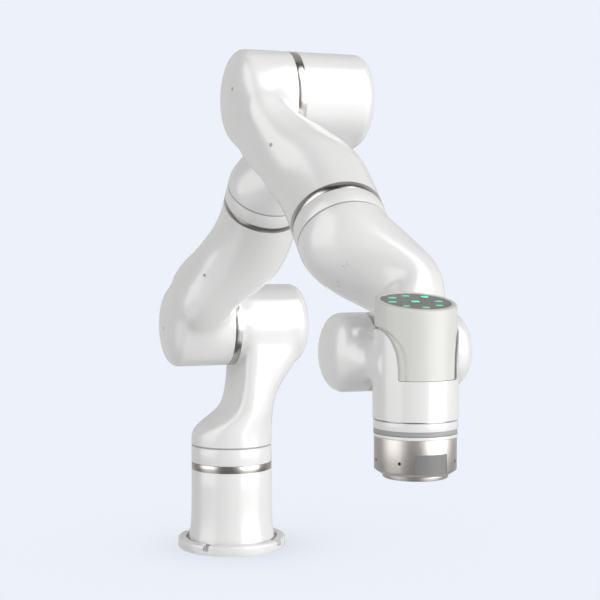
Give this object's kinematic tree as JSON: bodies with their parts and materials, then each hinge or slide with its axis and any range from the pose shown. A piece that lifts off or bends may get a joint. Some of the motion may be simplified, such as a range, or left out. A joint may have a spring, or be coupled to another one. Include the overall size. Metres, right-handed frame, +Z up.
{
  "type": "collaborative robot arm",
  "caption": "Seven-axis collaborative robot arm with cast S-shaped links, metal joint rings, a wrist grip with lit keys and a round tool flange.",
  "frame": {"origin": "centre of the base's underside, on the joint 1 axis", "axes": "+Z up along joint 1; +X along the parallel axes of joints 2, 4 and 6 in the modelled pose; the arm reaches towards -Y"},
  "size_m": [0.2148, 0.7657, 0.6705],
  "materials": {
    "white": "gloss white paint on cast aluminium",
    "steel": "turned and brushed",
    "seal": "satin grey",
    "grip": "satin warm grey",
    "panel": "satin dark grey",
    "light": "lit green",
    "grey": "satin mid grey",
    "iron": "machined",
    "black": "moulded black"
  },
  "bodies": {
    "base": {"base_casing": "white", "base_cover": "iron", "base_cover_screws": "steel", "foot_seal": "seal", "base_connector": "black", "j1_band": "steel", "j1_stator": "iron"},
    "link1": {"link1_casing": "white", "j1_seal": "seal", "j2_cap": "white", "j2_ring": "steel", "j1_flexspline": "iron", "j2_stator": "iron"},
    "link2": {"link2_casing": "white", "j3_band": "steel", "j2_flexspline": "iron", "j3_stator": "iron"},
    "link3": {"link3_casing": "white", "j3_seal": "seal", "j4_cap": "white", "j4_ring": "steel", "j3_flexspline": "iron", "j4_stator": "iron"},
    "link4": {"link4_casing": "white", "j5_band": "steel", "j4_flexspline": "iron", "j5_stator": "iron"},
    "link5": {"link5_casing": "white", "j5_seal": "seal", "j6_cap": "white", "j6_ring": "steel", "j5_flexspline": "iron", "j6_stator": "iron"},
    "wrist": {"wrist_casing": "white", "grip_cover": "grip", "key_panel": "panel", "panel_lights": "light", "j7_collar": "white", "j7_seal": "seal", "j6_flexspline": "iron", "j7_stator": "iron"},
    "tool": {"flange_ring": "white", "flange_body": "steel", "tool_connector": "grey", "flange_screws": "steel", "j7_flexspline": "iron"},
    "push_key_centre": {"key_centre": "light"},
    "push_key_side": {"key_side": "light"},
    "j1_motor": {"j1_rotor": "iron"},
    "j2_motor": {"j2_rotor": "iron"},
    "j3_motor": {"j3_rotor": "iron"},
    "j4_motor": {"j4_rotor": "iron"},
    "j5_motor": {"j5_rotor": "iron"},
    "j6_motor": {"j6_rotor": "iron"},
    "j7_motor": {"j7_rotor": "iron"}
  },
  "joints": [
    {"name": "joint1", "type": "hinge", "parent": "base", "child": "link1", "pos_m": [0, 0, 0.1228], "axis": [0, 0, 1], "range_deg": [-170, 170]},
    {"name": "joint2", "type": "hinge", "parent": "link1", "child": "link2", "pos_m": [0, 0, 0.32], "axis": [1, 0, 0], "range_deg": [-163, 77]},
    {"name": "joint3", "type": "hinge", "parent": "link2", "child": "link3", "pos_m": [0, 0, 0.32], "axis": [0, -0.682, 0.7314], "range_deg": [-170, 170]},
    {"name": "joint4", "type": "hinge", "parent": "link3", "child": "link4", "pos_m": [0, -0.2728, 0.61254], "axis": [1, 0, 0], "range_deg": [-210, 30]},
    {"name": "joint5", "type": "hinge", "parent": "link4", "child": "link5", "pos_m": [0, -0.2728, 0.61254], "axis": [0, -0.7314, -0.682], "range_deg": [-170, 170]},
    {"name": "joint6", "type": "hinge", "parent": "link5", "child": "wrist", "pos_m": [0, -0.57997, 0.3261], "axis": [1, 0, 0], "range_deg": [-20, 100]},
    {"name": "joint7", "type": "hinge", "parent": "wrist", "child": "tool", "pos_m": [0, -0.64697, 0.3261], "axis": [0, 0, -1], "range_deg": [-360, 360]},
    {"name": "rotor1", "type": "hinge", "parent": "base", "child": "j1_motor", "pos_m": [0, 0, 0.1228], "axis": [0, 0, 1], "continuous": true},
    {"name": "rotor2", "type": "hinge", "parent": "link1", "child": "j2_motor", "pos_m": [0, 0, 0.32], "axis": [1, 0, 0], "continuous": true},
    {"name": "rotor3", "type": "hinge", "parent": "link2", "child": "j3_motor", "pos_m": [0, 0, 0.32], "axis": [0, -0.682, 0.7314], "continuous": true},
    {"name": "rotor4", "type": "hinge", "parent": "link3", "child": "j4_motor", "pos_m": [0, -0.2728, 0.61254], "axis": [1, 0, 0], "continuous": true},
    {"name": "rotor5", "type": "hinge", "parent": "link4", "child": "j5_motor", "pos_m": [0, -0.2728, 0.61254], "axis": [0, -0.7314, -0.682], "continuous": true},
    {"name": "rotor6", "type": "hinge", "parent": "link5", "child": "j6_motor", "pos_m": [0, -0.57997, 0.3261], "axis": [1, 0, 0], "continuous": true},
    {"name": "rotor7", "type": "hinge", "parent": "wrist", "child": "j7_motor", "pos_m": [0, -0.64697, 0.3261], "axis": [0, 0, -1], "continuous": true},
    {"name": "press_key_centre", "type": "slide", "parent": "wrist", "child": "push_key_centre", "axis": [0, 0.1908, -0.9816], "range_m": [0, 0.0005]},
    {"name": "press_key_side", "type": "slide", "parent": "wrist", "child": "push_key_side", "axis": [0, 0.1908, -0.9816], "range_m": [0, 0.0005]}
  ],
  "couplings": [
    {"joint": "rotor1", "follows": "joint1", "ratio": -100},
    {"joint": "rotor2", "follows": "joint2", "ratio": -100},
    {"joint": "rotor3", "follows": "joint3", "ratio": -100},
    {"joint": "rotor4", "follows": "joint4", "ratio": -100},
    {"joint": "rotor5", "follows": "joint5", "ratio": -100},
    {"joint": "rotor6", "follows": "joint6", "ratio": -100},
    {"joint": "rotor7", "follows": "joint7", "ratio": -100}
  ]
}
